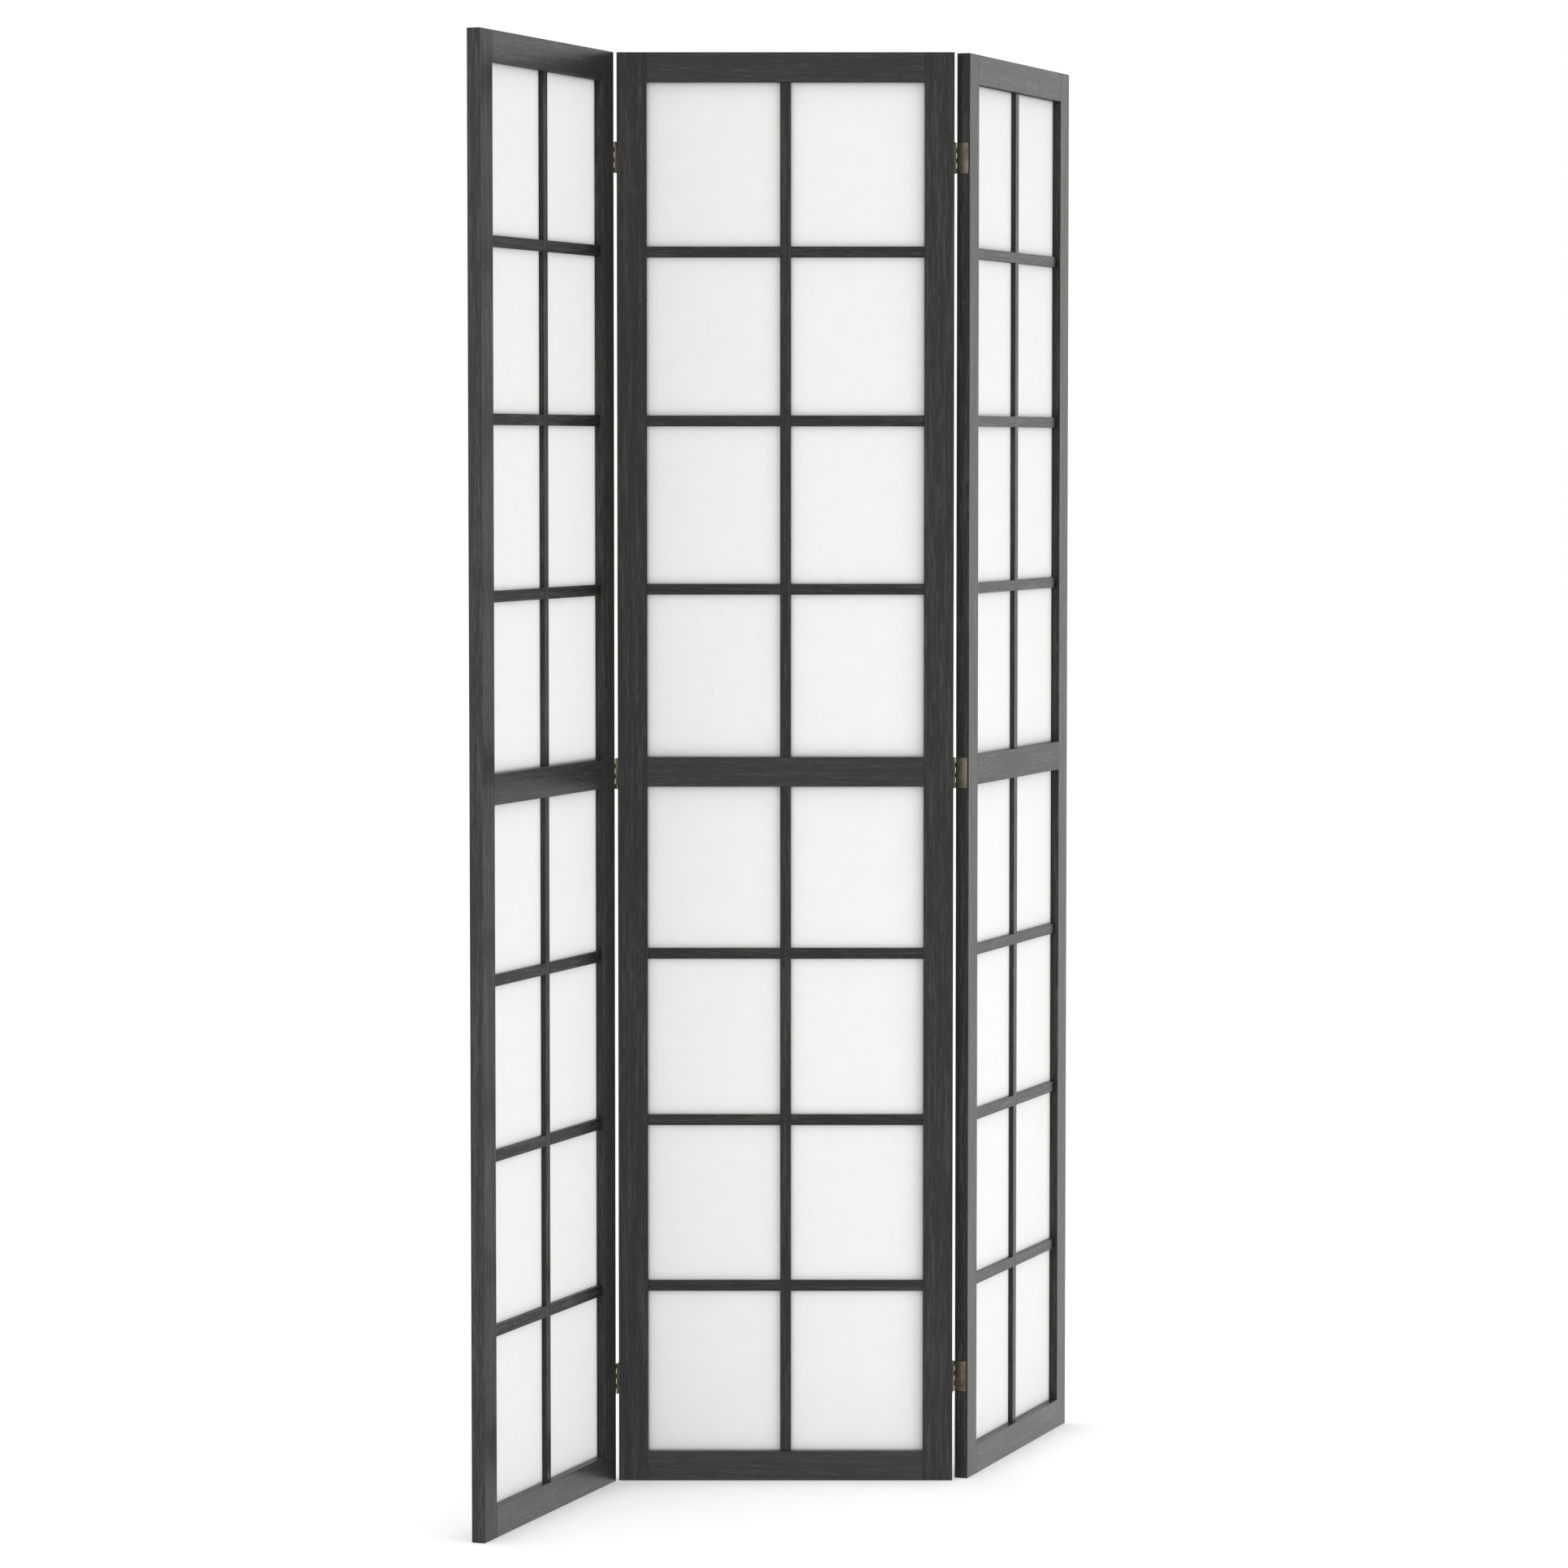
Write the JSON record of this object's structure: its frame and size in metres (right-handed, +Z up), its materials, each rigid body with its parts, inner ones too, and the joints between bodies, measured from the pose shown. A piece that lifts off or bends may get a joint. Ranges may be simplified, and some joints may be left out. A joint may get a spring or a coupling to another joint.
{
  "type": "folding screen",
  "caption": "Free-standing folding screen of dark-stained wooden frames with a square lattice over translucent white paper, joined by butt hinges so that it folds flat.",
  "frame": {"origin": "on the floor, under the middle of the centre panel, which is also the middle of the zigzag's footprint", "axes": "+Z up, +X along the centre panel to the right as seen from the front, -Y out of the centre panel's front face"},
  "size_m": [0.7462, 0.8112, 1.79],
  "materials": {
    "frame_wood": "charcoal stain under a thin satin lacquer, open straight grain along each member",
    "lattice_wood": "charcoal stain under a thin satin lacquer, fine grain along each stick",
    "dowel_wood": "plain unfinished hardwood, hidden in the joints",
    "shoji_paper": "matt translucent white paper with faint fibres",
    "hinge_metal": "antiqued, dark brown bronze tone, satin",
    "pin_metal": "antiqued, dark brown bronze tone, satin",
    "screw_metal": "antiqued, slightly darker than the leaves"
  },
  "bodies": {
    "centre_panel": {"centre_panel_bottom_rail": "frame_wood", "centre_panel_dowels": "dowel_wood", "centre_panel_left_stile": "frame_wood", "centre_panel_lower_back_lattice": "lattice_wood", "centre_panel_lower_front_lattice": "lattice_wood", "centre_panel_lower_paper": "shoji_paper", "centre_panel_middle_rail": "frame_wood", "centre_panel_right_stile": "frame_wood", "centre_panel_top_rail": "frame_wood", "centre_panel_upper_back_lattice": "lattice_wood", "centre_panel_upper_front_lattice": "lattice_wood", "centre_panel_upper_paper": "shoji_paper", "left_bottom_hinge_centre_leaf": "hinge_metal", "left_bottom_hinge_pin": "pin_metal", "left_centre_leaf_screws": "screw_metal", "left_middle_hinge_centre_leaf": "hinge_metal", "left_middle_hinge_pin": "pin_metal", "left_top_hinge_centre_leaf": "hinge_metal", "left_top_hinge_pin": "pin_metal", "right_bottom_hinge_centre_leaf": "hinge_metal", "right_bottom_hinge_pin": "pin_metal", "right_centre_leaf_screws": "screw_metal", "right_middle_hinge_centre_leaf": "hinge_metal", "right_middle_hinge_pin": "pin_metal", "right_top_hinge_centre_leaf": "hinge_metal", "right_top_hinge_pin": "pin_metal"},
    "left_panel": {"left_bottom_hinge_side_leaf": "hinge_metal", "left_middle_hinge_side_leaf": "hinge_metal", "left_panel_bottom_rail": "frame_wood", "left_panel_dowels": "dowel_wood", "left_panel_hinge_stile": "frame_wood", "left_panel_lower_back_lattice": "lattice_wood", "left_panel_lower_front_lattice": "lattice_wood", "left_panel_lower_paper": "shoji_paper", "left_panel_middle_rail": "frame_wood", "left_panel_outer_stile": "frame_wood", "left_panel_top_rail": "frame_wood", "left_panel_upper_back_lattice": "lattice_wood", "left_panel_upper_front_lattice": "lattice_wood", "left_panel_upper_paper": "shoji_paper", "left_side_leaf_screws": "screw_metal", "left_top_hinge_side_leaf": "hinge_metal"},
    "right_panel": {"right_bottom_hinge_side_leaf": "hinge_metal", "right_middle_hinge_side_leaf": "hinge_metal", "right_panel_bottom_rail": "frame_wood", "right_panel_dowels": "dowel_wood", "right_panel_hinge_stile": "frame_wood", "right_panel_lower_back_lattice": "lattice_wood", "right_panel_lower_front_lattice": "lattice_wood", "right_panel_lower_paper": "shoji_paper", "right_panel_middle_rail": "frame_wood", "right_panel_outer_stile": "frame_wood", "right_panel_top_rail": "frame_wood", "right_panel_upper_back_lattice": "lattice_wood", "right_panel_upper_front_lattice": "lattice_wood", "right_panel_upper_paper": "shoji_paper", "right_side_leaf_screws": "screw_metal", "right_top_hinge_side_leaf": "hinge_metal"}
  },
  "joints": [
    {"name": "left_panel_fold", "type": "hinge", "parent": "centre_panel", "child": "left_panel", "pos_m": [-0.2115, -0.0102, 0.893], "axis": [0, 0, 1], "range_deg": [-70, 110]},
    {"name": "right_panel_fold", "type": "hinge", "parent": "centre_panel", "child": "right_panel", "pos_m": [0.2115, 0.0102, 0.893], "axis": [0, 0, 1], "range_deg": [-70, 110]}
  ]
}
